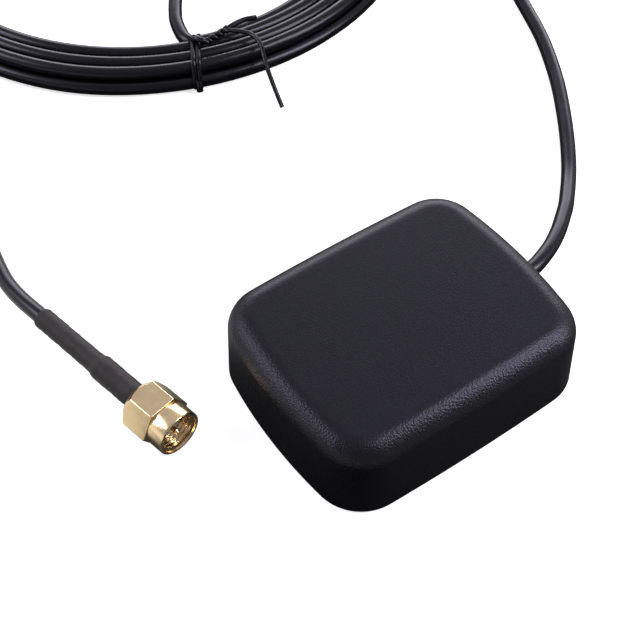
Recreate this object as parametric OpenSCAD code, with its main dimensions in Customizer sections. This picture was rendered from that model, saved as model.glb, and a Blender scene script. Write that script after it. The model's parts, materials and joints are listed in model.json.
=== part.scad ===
// Magnetic puck antenna for satellite positioning: a low rounded housing with a ceramic patch
// and its amplifier inside, a thin coaxial lead wound into a tied coil, and a gold screw-on plug.
// Millimetres, +Z up. The origin is the centre of the housing's underside, and the lead leaves
// the housing towards +X. Everything stands or lies on the plane z = 0.

/* [Housing] */
// Length of the housing, along X
housing_length = 49.5; // [47:0.5:56]
// Width of the housing, along Y
housing_width = 39.6; // [38:0.2:46]
// Height of the housing
housing_height = 14.4; // [14.1:0.1:18]
// Radius of the four upright corners
corner_r = 8.2; // [6.8:0.1:9.5]
// Radius of the rounded edge round the top
edge_r = 4; // [3:0.25:4.5]
// Lean of the side walls, in degrees
wall_lean = 3.3; // [1:0.1:4]
// Thickness of the cover's walls and top
wall = 1.9; // [1.6:0.1:2.1]
// Thickness of the skirt that hides the base plate's edge
skirt = 1.2; // [1:0.1:1.3]
// Turn of each short side's bow, from its middle to the corner, in degrees
end_turn = 8; // [5:0.5:10]
// Turn of each long side's bow, from its middle to the corner, in degrees
side_bow = 2; // [1:0.5:4]

/* [Base] */
// Thickness of the base plate
base_thickness = 1.6; // [1.5:0.1:1.8]
// Thickness of the seal between base plate and cover
seal_thickness = 0.3; // [0.2:0.05:0.4]
// Shank diameter of the base screws
screw_d = 2; // [1.6:0.1:2.2]
// Room between each end of the magnet and the housing's end
magnet_end_room = 13.75; // [13.75:0.25:16]
// Room between each side of the magnet and the housing's side
magnet_side_room = 10.8; // [10.8:0.2:13]

/* [Antenna] */
// Margin of circuit board round the ceramic patch
patch_margin = 2.5; // [2.2:0.1:4]
// Air gap over the ceramic patch
patch_air = 0.9; // [0.6:0.05:1.4]
// Room between each end of the board and the housing's end
board_end_room = 9.75; // [9.5:0.05:10]
// Room between each side of the board and the housing's side
board_side_room = 4.8; // [4.55:0.05:5]
// Thickness of the circuit board
board_thickness = 0.8; // [0.6:0.1:0.9]
// Height of the shielding can under the board
can_height = 2; // [1.6:0.1:2.2]

/* [Lead] */
// Outside diameter of the coaxial lead
lead_d = 2.8; // [2.5:0.05:2.8]
// Height of the lead's exit above the underside
exit_z = 5.5; // [5.2:0.1:6]
// Radius of the coil, to the middle of its innermost turn
coil_r = 46.2; // [45:0.2:46.4]

/* [Plug] */
// Width of the coupling nut across its flats
nut_flats = 8; // [7.8:0.05:8.4]
// Length of the nut's flats
hex_length = 4.7; // [4.5:0.1:5.2]
// Length of the turned cone behind the flats
back_cone = 1.35; // [1:0.05:1.5]
// Length of the round collar in front of the flats
collar_length = 3.15; // [2.9:0.05:3.4]
// Difference between the width across flats and the collar's diameter
collar_less = 0.2; // [0.1:0.05:0.5]
// Length of the heat-shrink sleeve
shrink_length = 24.3; // [20:0.1:25]

/* [Hidden] */

$fn = 64;
big_fn = 360;
bit = 0.01;

// housing: the wall's outer line leans in and runs tangent into the rounded edge
fit_gap = 0.1;
base_edge = 0.3;
edge_z = housing_height - edge_r;
edge_x = -edge_z * tan(wall_lean) - edge_r / cos(wall_lean);
rim_in = edge_x - 0.8;
ceiling_z = housing_height - wall;
ledge_z = base_thickness + seal_thickness;
function wall_in(z) = wall / cos(wall_lean) + z * tan(wall_lean);

// plan of the housing: eight arcs that run tangent into each other
side_turn = 90 - side_bow;
corner_x = (
    housing_length / 2 - corner_r - tan(end_turn / 2) * (housing_width / 2 - corner_r)
) / (1 - tan(end_turn / 2) * tan(side_bow / 2));
corner_y = housing_width / 2 - corner_r - tan(side_bow / 2) * corner_x;
corner_c = [corner_x, corner_y];
end_bow_r = corner_r + corner_y / sin(end_turn);
side_bow_r = corner_r + corner_x / sin(side_bow);
end_c = [housing_length / 2 - end_bow_r, 0];
side_c = [0, housing_width / 2 - side_bow_r];

// bosses, posts and screws
boss_r = 2.4;
boss_in = 6.75;
boss_at = [housing_length / 2 - boss_in, housing_width / 2 - boss_in];
boss_z = ledge_z;
rib_t = 1.2;
screw_head_r = screw_d / 2 + 0.9;
screw_head_h = 0.9;
screw_sink = 0.15;
screw_length = 6.6;
thread_bite = 0.05;
post_r = 1.3;
post_pin_r = 0.5;
post_in = 1.4;
board = [housing_length - 2 * board_end_room, housing_width - 2 * board_side_room];
post_at = board / 2 - [post_in, post_in];
pocket_t = 1;
pocket_h = 1.6;
magnet_length = housing_length - 2 * magnet_end_room;
magnet_width = housing_width - 2 * magnet_side_room;
magnet_z = base_thickness;
magnet_h = 2.8;

// the stack on the board, from the magnet up
can_gap = 0.2;
board_z = magnet_z + magnet_h + can_gap + can_height;
board_top = board_z + board_thickness;
tape_t = 0.15;
patch_z = board_top + tape_t;
film_t = 0.05;
film_margin = 2;
patch = board - [2, 2] * patch_margin;
patch_top = ceiling_z - patch_air - film_t;
patch_thickness = patch_top - patch_z;
film = patch - [2, 2] * film_margin;
film_corner = 2.4;
feed_at = [0, -0.076 * patch[1]];
feed_r = 0.4;
feed_head_r = 1.1;
feed_head_h = 0.2;
feed_foot = 0.5;
hole_gap = 0.1;
can_length = 0.6 * board[0];
can_width = 0.4 * board[1];
can_t = 0.2;
chip_size = [1.6, 0.8, 0.7];
chip_places = [
    [-0.36, 0.3], [-0.36, 0.05], [-0.17, -0.33], [0.18, -0.33], [0.36, -0.2], [0.36, 0.1]
];
amplifier_at = [0.17, 0.21];
filter_at = [-0.145, 0.2];
amplifier_size = [2, 2, 0.75];
filter_size = [3, 3, 1.1];

// the lead and its layers
lead_r = lead_d / 2;
shield_r = 1;
core_r = 0.75;
wire_r = 0.24;
jacket_end = board[0] / 2 + 1;
shield_end = jacket_end - 3.2;
core_end = shield_end - 0.8;
wire_end = core_end - 1.1;
grommet_r = lead_r + 1;
grommet_flange_r = lead_r + 1.7;
grommet_flange = 0.8;
grommet_out = 0.5;
exit_x = housing_length / 2 - exit_z * tan(wall_lean);
exit_in = exit_x - wall / cos(wall_lean) - grommet_flange_r * tan(wall_lean) - fit_gap;
saddle_x = [jacket_end + 1.2, jacket_end + 3];
saddle_w = 4;

// coil: five turns side by side below, three above them
coil_c = [27.5, 130.5];
coil_low = 5;
coil_high = 3;
coil_high_z = lead_d * 1.5;
coil_start = 258;
low_out = coil_r + lead_d * (coil_low - 1);
high_in = coil_r + lead_d * 1.5;
high_out = high_in + lead_d * (coil_high - 1);

// the route from the housing to the coil, which crosses over the coil on its far side
route_out = [
    [jacket_end, 0, exit_z], [21, 0, exit_z], [26, 0.1, exit_z], [31, 1.2, 5.2],
    [38.5, 5.3, 4], [47, 12.4, 2.2], [55.5, 21.7, lead_r], [63, 32.2, lead_r],
    [69.6, 43.6, lead_r], [74.8, 56, lead_r], [79.4, 69, lead_r], [83.6, 82.5, lead_r],
    [87.6, 96.5, lead_r], [90.4, 111, lead_r], [90.8, 125.5, lead_r], [88.4, 139.5, 2],
    [82.6, 152.5, 5], [73.4, 162.6, 7.1], [61, 167.4, 7.1], [49, 163.4, 5],
    [39.6, 152.6, 1.6], [32.6, 138, lead_r], [25.8, 121.5, lead_r], [18.4, 103.4, lead_r],
    [13.4, 94.6, lead_r], [12.4, 89.4, lead_r]
];
coil_entry = [
    coil_c[0] + coil_r * cos(coil_start),
    coil_c[1] + coil_r * sin(coil_start),
    lead_r
];

// plug: x runs along its axis, from the back of the nut towards the mouth
plug_back = [-38.27, 14.51];
plug_turn = -77.5;
plug_z = nut_flats / 2;
plug_dir = [cos(plug_turn), sin(plug_turn)];
nut_length = hex_length + collar_length;
collar_d = nut_flats - collar_less;
hinge_gap = 0.05;
neck_r = 2.5;
neck_length = 1.65;
thread_r = 2.87;
mouth_r = 3.4;
mouth_depth = 0.45;
front_cut = 0.22;
ring_t = 0.5;
ring_in = 2.1;
ring_out = 3;
ring_split = 1;
face_x = nut_length - 2.3;
contact_r = 2.3;
liner_r = 1.95;
liner_back = 0.5;
pin_r = 0.457;
pin_tip_x = face_x + 1.95;
pin_taper = 0.4;
pin_back = -0.9;
gasket_r = 0.3;
gasket_seat_r = 2.1;
gasket_x = 2.88;
gasket_room = gasket_r + 0.01;
lip_x = 3.4;
pin_barrel_r = 0.64;
stem_r = 1.2;
stem_bore_r = core_r + 0.05;
rear_r = 1.85;
rear_x = -1.1;
stem_end = -6;
braid_t = 0.35;
ferrule_r = rear_r;
ferrule_end = -9.2;
shrink_gap = 0.25;
shrink_big_r = 2.1;
shrink_small_r = lead_r + 0.35;
shrink_step = [-9.6, -11.4];
jacket_stop = stem_end - 0.2;

function plug_point(x) = [
    plug_back[0] + plug_dir[0] * x,
    plug_back[1] + plug_dir[1] * x,
    plug_z
];

// the route from the coil to the plug, which climbs over the coil's outer turns
route_in = [
    [-10.8, 162.6, 5], [-19, 153.6, 6.9], [-26.6, 141.4, 7.1], [-31.8, 128.6, 6],
    [-34.8, 115, 3.2], [-36.4, 101.5, lead_r], [-38.6, 88, lead_r], [-41.2, 74, lead_r],
    [-43.8, 61, lead_r], [-45, 50, 2.6], plug_point(-26), plug_point(-18),
    plug_point(-12), plug_point(jacket_stop)
];

// twist tie
tie_turn = 253.5;
tie_t = 0.6;
tie_w = 2.2;
tail_r = 0.45;
twist_r = 0.85;
tie_root = [12, 80.4, 6.4];
tie_fork = [17.4, 80.2, 7.2];
twist_route = [tie_root, [14.6, 80.2, 6.8], tie_fork];
tail_one = [tie_fork, [20.4, 79.8, 7.5], [23.4, 78.8, 7.4]];
tail_two = [
    tie_fork, [19.4, 79.6, 7.6], [21.9, 78.7, 7.6], [22.8, 76.6, 7.1],
    [21.8, 72.4, 6.3], [20.4, 68.6, 4.9], [18.8, 64.6, 2.8], [17.6, 61.4, 0.6]
];

// a smooth curve through points: the points and `parts` - 1 places between each two
function unit(v) = v / norm(v);
function heading(p, i) =
    unit(p[min(i + 1, len(p) - 1)] - p[max(i - 1, 0)]);
function between(p, i, t) =
    let (
        span = norm(p[i + 1] - p[i]),
        a = heading(p, i) * span,
        b = heading(p, i + 1) * span
    )
    p[i] * (2 * t ^ 3 - 3 * t ^ 2 + 1) + a * (t ^ 3 - 2 * t ^ 2 + t)
    + p[i + 1] * (3 * t ^ 2 - 2 * t ^ 3) + b * (t ^ 3 - t ^ 2);
function smooth(p, parts = 2) = [
    for (i = [0 : len(p) - 2])
        for (k = [0 : parts - 1])
            between(p, i, k / parts),
    p[len(p) - 1]
];

// a round tube along a list of points
module tube(line, r, sides = 8) {
    n = len(line);
    rings = [
        for (i = [0 : n - 1])
            let (
                forward = heading(line, i),
                flat = unit(cross(forward, [0, 0, 1])),
                up = cross(flat, forward)
            )
            for (k = [0 : sides - 1])
                let (turn = 360 * (k + 0.5) / sides)
                line[i] + (flat * cos(turn) + up * sin(turn)) * r
    ];
    skin = [
        for (i = [0 : n - 2])
            for (k = [0 : sides - 1])
                let (
                    a = i * sides + k,
                    b = i * sides + (k + 1) % sides
                )
                each [[a, b, b + sides], [a, b + sides, a + sides]]
    ];
    front = [for (k = [0 : sides - 1]) sides - 1 - k];
    back = [for (k = [0 : sides - 1]) (n - 1) * sides + k];
    polyhedron(points = rings, faces = concat([front], skin, [back]), convexity = 10);
}

// points on an arc round `c`, `parts` steps from angle `a` to angle `b`
function arc(c, r, a, b, parts) = [
    for (i = [0 : parts])
        c + [cos(a + (b - a) * i / parts), sin(a + (b - a) * i / parts)] * r
];

// plan of the housing, moved inwards by `inset`
module plan(inset) {
    corner = arc(corner_c, corner_r - inset, end_turn, side_turn, 10);
    side = arc(side_c, side_bow_r - inset, side_turn, 180 - side_turn, 8);
    end = arc(end_c, end_bow_r - inset, -end_turn, end_turn, 8);
    last = len(corner) - 1;
    half = concat(
        end, [for (i = [1 : last]) corner[i]], [for (i = [1 : 8]) side[i]],
        [for (i = [1 : last - 1]) [-corner[last - i][0], corner[last - i][1]]]
    );
    polygon(concat(half, [for (p = half) -p]));
}

// moves by `v` in a coarse and a fine step, which keeps every digit of it
module moved(v) {
    coarse = [round(v[0] * 100) / 100, round(v[1] * 100) / 100];
    translate(coarse)
        translate(v - coarse)
            children();
}

// turns a profile round `c` at radius `r`, from angle `a` to angle `b`
module swing(c, r, a, b, steps) {
    moved(c)
        rotate_extrude(start = a, angle = b - a, $fn = steps)
            moved([r, 0])
                children();
}

// runs a profile round the plan; its x is 0 on the plan's outline and negative inside it
module round_plan() {
    for (x = [0, 1])
        for (y = [0, 1])
            mirror([x, 0, 0])
                mirror([0, y, 0]) {
                    swing(end_c, end_bow_r, 0, end_turn, big_fn)
                        children();
                    swing(corner_c, corner_r, end_turn, side_turn, $fn)
                        children();
                    swing(side_c, side_bow_r, side_turn, 90, big_fn)
                        children();
                }
}

// section of the cover's wall
module wall_section() {
    polygon(concat(
        [
            [-skirt, 0], [-base_edge, 0], [-base_edge * tan(wall_lean), base_edge]
        ],
        arc([edge_x, edge_z], edge_r, wall_lean, 90, 12),
        [[rim_in, housing_height], [rim_in, ceiling_z]],
        arc([edge_x, edge_z], edge_r - wall, 90, wall_lean, 8),
        [[-wall_in(ledge_z), ledge_z], [-skirt, ledge_z]]
    ));
}

module at_corners(place) {
    for (x = [-1, 1])
        for (y = [-1, 1])
            translate([x * place[0], y * place[1], 0])
                children();
}

module along_x(x, z) {
    translate([x, 0, z])
        rotate([0, 90, 0])
            children();
}

module top_cover() color("#26252b") {
    difference() {
        union() {
            round_plan()
                wall_section();
            translate([0, 0, ceiling_z])
                linear_extrude(wall)
                    plan(-edge_x + 0.4);
            at_corners(boss_at)
                translate([0, 0, boss_z])
                    cylinder(r = boss_r, h = ceiling_z - boss_z + 0.5);
            corner_ribs();
        }
        at_corners(boss_at)
            translate([0, 0, boss_z - 1])
                cylinder(d = screw_d - 2 * thread_bite, h = screw_length - boss_z + 1.6);
        along_x(exit_in - 2, exit_z)
            cylinder(r = grommet_r, h = wall + 6);
    }
}

// ribs that tie each boss to its corner
module corner_ribs() {
    for (x = [-1, 1])
        for (y = [-1, 1])
            translate([0, 0, boss_z])
                linear_extrude(ceiling_z - boss_z + 0.5)
                    intersection() {
                        plan(wall - 0.3);
                        translate([x * boss_at[0], y * boss_at[1]])
                            rotate(atan2(y, x))
                                translate([0, -rib_t / 2])
                                    square([8, rib_t]);
                    }
}

module base_plate() color("#1d1d21") {
    difference() {
        union() {
            linear_extrude(base_thickness)
                plan(skirt + fit_gap);
            translate([0, 0, base_thickness - bit])
                linear_extrude(pocket_h + bit)
                    difference() {
                        square(
                            [magnet_length, magnet_width] + [1, 1] * 2 * (pocket_t + fit_gap),
                            center = true
                        );
                        square(
                            [magnet_length, magnet_width] + [1, 1] * 2 * fit_gap,
                            center = true
                        );
                    }
            at_corners(post_at) {
                cylinder(r = post_r, h = board_z);
                cylinder(r = post_pin_r, h = board_top + 0.3);
            }
            translate([saddle_x[0], -saddle_w / 2, base_thickness - bit])
                cube([saddle_x[1] - saddle_x[0], saddle_w, exit_z - base_thickness + bit]);
        }
        along_x(saddle_x[0] - 1, exit_z)
            cylinder(r = lead_r, h = saddle_x[1] - saddle_x[0] + 2);
        at_corners(boss_at) {
            translate([0, 0, -1])
                cylinder(r = screw_head_r + fit_gap, h = screw_head_h + screw_sink + 1);
            cylinder(r = screw_d / 2 + fit_gap, h = base_thickness + 1);
        }
    }
}

module base_seal() color("#3a3a3a") {
    translate([0, 0, base_thickness])
        linear_extrude(seal_thickness)
            difference() {
                plan(skirt + fit_gap);
                plan(wall_in(ledge_z) + 0.2);
            }
}

module base_screws() color("#b9bcc0") {
    at_corners(boss_at)
        translate([0, 0, screw_sink])
            difference() {
                union() {
                    cylinder(r = screw_head_r, h = screw_head_h);
                    cylinder(d = screw_d, h = screw_length - 0.8);
                    translate([0, 0, screw_length - 0.8])
                        cylinder(d1 = screw_d, d2 = screw_d * 0.4, h = 0.8);
                }
                for (turn = [0, 90])
                    rotate(turn)
                        translate([-screw_head_r * 0.62, -0.22, -bit])
                            cube([screw_head_r * 1.24, 0.44, 0.6]);
            }
}

module magnet() color("#3c3f42") {
    translate([-magnet_length / 2, -magnet_width / 2, magnet_z])
        cube([magnet_length, magnet_width, magnet_h]);
}

module circuit_board() color("#1d5a34") {
    difference() {
        translate([-board[0] / 2, -board[1] / 2, board_z])
            cube([board[0], board[1], board_thickness]);
        at_corners(post_at)
            cylinder(r = post_pin_r + hole_gap / 2, h = housing_height);
        translate([feed_at[0], feed_at[1], 0])
            cylinder(r = feed_r, h = housing_height);
    }
}

module shield_can() color("#c8cacc") {
    difference() {
        translate([-can_length / 2, -can_width / 2, board_z - can_height])
            cube([can_length, can_width, can_height]);
        translate([-can_length / 2 + can_t, -can_width / 2 + can_t, board_z - can_height + can_t])
            cube([can_length - 2 * can_t, can_width - 2 * can_t, can_height]);
        for (i = [-2 : 2])
            translate([i * can_length / 6, 0, board_z - can_height - 1])
                cylinder(r = 0.5, h = 2);
    }
}

module chip(place, size) {
    translate([
        place[0] * can_length - size[0] / 2, place[1] * can_width - size[1] / 2,
        board_z - size[2]
    ])
        cube(size);
}

module amplifier_chip() color("#202124") {
    chip(amplifier_at, amplifier_size);
}

module band_filter() color("#cfc8a8") {
    chip(filter_at, filter_size);
}

module chip_part(i) color("#a58a63") {
    chip(chip_places[i], chip_size);
}

module patch_tape() color("#d8d8d2") {
    translate([0, 0, board_top])
        difference() {
            linear_extrude(tape_t)
                square(patch - [1, 1], center = true);
            translate([feed_at[0], feed_at[1], -1])
                cylinder(r = feed_r + hole_gap, h = 3);
        }
}

module ceramic_patch() color("#d9d2bd") {
    translate([0, 0, patch_z])
        difference() {
            linear_extrude(patch_thickness)
                square(patch, center = true);
            translate([feed_at[0], feed_at[1], -1])
                cylinder(r = feed_r + hole_gap, h = patch_thickness + 2);
        }
}

// silvered face, with two clipped corners that set its polarisation
module patch_electrode() color("#e4e4e2") {
    half = film / 2;
    translate([0, 0, patch_top])
        difference() {
            linear_extrude(film_t)
                polygon([
                    -half, [half[0] - film_corner, -half[1]], [half[0], -half[1] + film_corner],
                    half, [-half[0] + film_corner, half[1]], [-half[0], half[1] - film_corner]
                ]);
            translate([feed_at[0], feed_at[1], -1])
                cylinder(r = feed_r, h = 3);
        }
}

module feed_pin() color("#d8b45a") {
    translate([feed_at[0], feed_at[1], board_z - feed_foot])
        cylinder(r = feed_r, h = patch_top + film_t - board_z + feed_foot + bit);
    translate([feed_at[0], feed_at[1], patch_top + film_t])
        cylinder(r = feed_head_r, h = feed_head_h);
}

module solder_joints() color("#c4c6c8") {
    // foot of the feed pin
    translate([feed_at[0], feed_at[1], board_z - feed_foot + 0.05])
        difference() {
            cylinder(r1 = feed_r + 0.1, r2 = 0.95, h = feed_foot - 0.05);
            translate([0, 0, -1])
                cylinder(r = feed_r, h = 3);
        }
    // braid to the board's ground pad
    difference() {
        translate([shield_end + 0.4, -shield_r - 0.5, exit_z])
            cube([1.6, 2 * shield_r + 1, board_z - exit_z]);
        along_x(shield_end, exit_z)
            cylinder(r = shield_r, h = 4);
    }
    // wire to the amplifier's output pad
    difference() {
        translate([wire_end + 0.5, 0, exit_z])
            cylinder(r = 0.45, h = board_z - exit_z);
        along_x(wire_end - 1, exit_z)
            cylinder(r = wire_r, h = 3);
    }
}

module cable_grommet() color("#232226") {
    tip = exit_x + grommet_out;
    along_x(0, exit_z)
        rotate_extrude()
            polygon([
                [lead_r, exit_in - grommet_flange], [grommet_flange_r, exit_in - grommet_flange],
                [grommet_flange_r, exit_in], [grommet_r, exit_in], [grommet_r, tip - 0.3],
                [grommet_r - 0.3, tip], [lead_r, tip]
            ]);
}

module cable_antenna_lead() color("#2b2b33") {
    tube(smooth(concat(route_out, [coil_entry])), lead_r);
}

module cable_plug_lead() color("#2b2b33") {
    tube(smooth(route_in), lead_r);
}

// section of the coil, grown by `extra`
module coil_section(extra = 0) {
    low = [[coil_r, lead_r], [low_out, lead_r]];
    high = [[high_in, coil_high_z], [high_out, coil_high_z]];
    r = lead_r + extra;
    lean = unit([coil_high_z - lead_r, high_in - coil_r]);
    for (p = concat(low, high))
        translate(p)
            circle(r);
    polygon([
        low[0] - [0, r], low[1] - [0, r],
        low[1] + lean * r, high[1] + lean * r,
        high[1] + [0, r], high[0] + [0, r],
        high[0] + [-lean[0], lean[1]] * r, low[0] + [-lean[0], lean[1]] * r
    ]);
}

module at_tie() {
    translate(coil_c)
        rotate(tie_turn)
            children();
}

// the twist tie's band, as a solid block of its outer size
module tie_block(extra, floor_z) {
    at_tie()
        rotate([90, 0, 0])
            translate([0, 0, -tie_w / 2])
                linear_extrude(tie_w)
                    intersection() {
                        coil_section(extra);
                        translate([0, floor_z])
                            square([2 * coil_r, 2 * coil_high_z]);
                    }
}

module cable_coil() color("#2b2b33") {
    difference() {
        translate(coil_c)
            rotate_extrude($fn = 180)
                coil_section();
        at_tie()
            translate([coil_r - 2 * lead_d, -tie_w / 2, -1])
                cube([2 * (low_out - coil_r), tie_w, 1 + tie_t]);
    }
}

module twist_tie() color("#1c1b1e") {
    difference() {
        tie_block(tie_t, 0);
        at_tie()
            rotate([90, 0, 0])
                translate([0, 0, -tie_w])
                    linear_extrude(2 * tie_w)
                        intersection() {
                            coil_section();
                            translate([0, tie_t])
                                square([2 * coil_r, 2 * coil_high_z]);
                        }
    }
    tube(smooth(twist_route), twist_r);
    tube(smooth(tail_one), tail_r);
    tube(smooth(tail_two), tail_r);
}

module layer(from, to, outer, inner) {
    difference() {
        along_x(from, exit_z)
            cylinder(r = outer, h = to - from);
        if (inner > 0)
            along_x(from - 1, exit_z)
                cylinder(r = inner, h = to - from + 2);
    }
}

module cable_braid_end() color("#b98a5a") {
    layer(shield_end, jacket_end, shield_r, core_r);
}

module cable_insulation_end() color("#e8e6df") {
    layer(core_end, jacket_end, core_r, wire_r);
}

module cable_conductor_end() color("#c27c4a") {
    layer(wire_end, jacket_end, wire_r, 0);
}

// stands the plug's own axis, drawn along Z, in its place
module at_plug() {
    translate([plug_back[0], plug_back[1], plug_z])
        rotate([0, 0, plug_turn])
            rotate([0, 90, 0])
                children();
}

module sleeve(from, to, outer, inner) {
    translate([0, 0, from])
        difference() {
            cylinder(r = outer, h = to - from);
            translate([0, 0, -1])
                cylinder(r = inner, h = to - from + 2);
        }
}

module plug_body() color("#c9a85c") {
    at_plug()
        rotate_extrude()
            polygon([
                [stem_bore_r, stem_end], [stem_r, stem_end], [stem_r, rear_x],
                [rear_r, rear_x], [rear_r, -shrink_gap], [neck_r, -shrink_gap],
                [neck_r, neck_length + hinge_gap], [ring_in, neck_length + hinge_gap],
                [ring_in, neck_length + hinge_gap + ring_t],
                [neck_r, neck_length + hinge_gap + ring_t],
                [neck_r, gasket_x - gasket_room], [gasket_seat_r, gasket_x - gasket_room],
                [gasket_seat_r, gasket_x + gasket_room], [neck_r, gasket_x + gasket_room],
                [neck_r, lip_x], [contact_r, lip_x],
                [contact_r, face_x - 0.1], [contact_r - 0.1, face_x],
                [liner_r, face_x], [liner_r, liner_back], [stem_bore_r, liner_back]
            ]);
}

module coupling_nut() color("#d3b05f") {
    ring_room = ring_t + 2 * hinge_gap;
    hex_corner_r = nut_flats / 2 / cos(30);
    at_plug()
        difference() {
            union() {
                intersection() {
                    translate([0, 0, -back_cone])
                        rotate(30)
                            cylinder(r = hex_corner_r, h = back_cone + hex_length, $fn = 6);
                    rotate_extrude()
                        polygon([
                            [0, -back_cone], [hex_corner_r - back_cone, -back_cone],
                            [hex_corner_r, 0], [hex_corner_r, hex_length - front_cut],
                            [hex_corner_r - front_cut, hex_length], [0, hex_length]
                        ]);
                }
                translate([0, 0, hex_length - bit])
                    cylinder(d = collar_d, h = collar_length - 0.2 + bit);
                translate([0, 0, nut_length - 0.2])
                    cylinder(d1 = collar_d, d2 = collar_d - 0.4, h = 0.2);
            }
            rotate_extrude()
                polygon([
                    [0, -back_cone - 1], [neck_r + hinge_gap, -back_cone - 1],
                    [neck_r + hinge_gap, neck_length],
                    [ring_out + hinge_gap, neck_length],
                    [ring_out + hinge_gap, neck_length + ring_room],
                    [thread_r, neck_length + ring_room], [thread_r, nut_length - mouth_depth - 0.3],
                    [mouth_r, nut_length - mouth_depth], [mouth_r, nut_length + 1],
                    [0, nut_length + 1]
                ]);
        }
}

module retaining_ring() color("#c8b070") {
    at_plug()
        difference() {
            sleeve(neck_length + hinge_gap, neck_length + hinge_gap + ring_t, ring_out, ring_in);
            translate([0, -ring_split / 2, 0])
                cube([2 * ring_out, ring_split, nut_length]);
        }
}

module plug_gasket() color("#b04a3c") {
    at_plug()
        translate([0, 0, gasket_x])
            rotate_extrude()
                translate([gasket_seat_r + gasket_r, 0])
                    circle(gasket_r, $fn = 32);
}

module plug_insulator() color("#f0efe9") {
    at_plug()
        sleeve(liner_back, face_x, liner_r, pin_barrel_r);
}

module centre_pin() color("#d3b05f") {
    at_plug() {
        difference() {
            rotate_extrude()
                polygon([
                    [0, pin_back], [pin_barrel_r, pin_back], [pin_barrel_r, face_x],
                    [pin_r, face_x], [pin_r, pin_tip_x - pin_taper],
                    [pin_r * 0.4, pin_tip_x], [0, pin_tip_x]
                ]);
            translate([0, 0, pin_back - 1])
                cylinder(r = wire_r, h = 2.2);
        }
    }
}

module crimped_braid() color("#b98a5a") {
    at_plug()
        sleeve(stem_end, rear_x, stem_r + braid_t, stem_r);
}

module crimp_ferrule() color("#c9a85c") {
    at_plug()
        rotate_extrude()
            polygon([
                [lead_r, ferrule_end], [ferrule_r, ferrule_end], [ferrule_r, rear_x],
                [stem_r + braid_t, rear_x], [stem_r + braid_t, jacket_stop],
                [lead_r, jacket_stop]
            ]);
}

module plug_end_insulation() color("#e8e6df") {
    at_plug()
        sleeve(jacket_stop, pin_back, core_r, wire_r);
}

module plug_end_conductor() color("#c27c4a") {
    at_plug()
        translate([0, 0, jacket_stop])
            cylinder(r = wire_r, h = 1.2 + pin_back - jacket_stop);
}

module heat_shrink() color("#3a3438") {
    at_plug()
        rotate_extrude()
            polygon([
                [lead_r, -shrink_length], [shrink_small_r, -shrink_length + 0.1],
                [shrink_small_r, shrink_step[1]], [shrink_big_r, shrink_step[0]],
                [shrink_big_r, -shrink_gap], [rear_r, -shrink_gap],
                [rear_r, ferrule_end], [lead_r, ferrule_end]
            ]);
}

top_cover();
base_plate();
base_seal();
base_screws();
magnet();
circuit_board();
shield_can();
amplifier_chip();
band_filter();
for (i = [0 : 5])
    chip_part(i);
patch_tape();
ceramic_patch();
patch_electrode();
feed_pin();
solder_joints();
cable_grommet();
cable_antenna_lead();
cable_coil();
cable_plug_lead();
twist_tie();
cable_braid_end();
cable_insulation_end();
cable_conductor_end();
plug_body();
coupling_nut();
retaining_ring();
plug_gasket();
plug_insulator();
centre_pin();
crimp_ferrule();
crimped_braid();
plug_end_insulation();
plug_end_conductor();
heat_shrink();
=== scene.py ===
# %% [markdown]
# # A magnetic positioning antenna with its coiled lead
#
# The object is a black plastic puck, about fifty millimetres long, with a thin coaxial lead. The
# lead runs in a wide curve to a coil that a twist tie holds together, and its other end carries a
# gold screw-on plug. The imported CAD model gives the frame, and this script gives the looks. Most
# of the picture is three things: a grained black housing, a satin black cord and a small piece of
# polished gold. So most of the work goes into the grain, the cord's path and the plug.

import json
import math

import bpy
import bmesh
from mathutils import Matrix, Vector


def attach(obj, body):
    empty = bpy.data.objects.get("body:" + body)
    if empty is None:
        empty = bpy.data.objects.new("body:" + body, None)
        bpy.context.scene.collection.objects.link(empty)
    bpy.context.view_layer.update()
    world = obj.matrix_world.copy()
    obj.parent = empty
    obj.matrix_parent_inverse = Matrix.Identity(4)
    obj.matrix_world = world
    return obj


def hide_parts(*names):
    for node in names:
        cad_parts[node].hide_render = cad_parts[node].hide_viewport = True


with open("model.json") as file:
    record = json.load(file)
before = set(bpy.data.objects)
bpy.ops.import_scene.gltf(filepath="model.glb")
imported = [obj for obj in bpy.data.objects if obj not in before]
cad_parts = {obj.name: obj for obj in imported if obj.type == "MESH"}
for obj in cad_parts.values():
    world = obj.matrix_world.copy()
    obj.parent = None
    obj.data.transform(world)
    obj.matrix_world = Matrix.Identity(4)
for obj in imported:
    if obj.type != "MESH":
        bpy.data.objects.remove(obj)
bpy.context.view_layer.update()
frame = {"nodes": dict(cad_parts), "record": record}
MM = 0.001
TAU = 2 * math.pi
scene = bpy.context.scene

# %% [markdown]
# ## The camera
#
# The photograph looks down at the puck from over its near left corner, at a bit more than fifty
# degrees. These values come from fitting the housing's outline, so they are measured and not
# chosen. The camera's own axes are built from the angles, which avoids any doubt about the order
# of rotations.

# %% The camera's measures and axes
CAM_AT = Vector((-70.781, -84.276, 157.629)) * MM
CAM_AZIMUTH, CAM_DROP, CAM_ROLL = (math.radians(a) for a in (34.0014, 52.61, -0.815))
FOCAL_PX, SIDE_PX = 1180.65, 640.0
CENTRE_PX = (326.746, 313.381)
SENSOR_MM = 36.0

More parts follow.
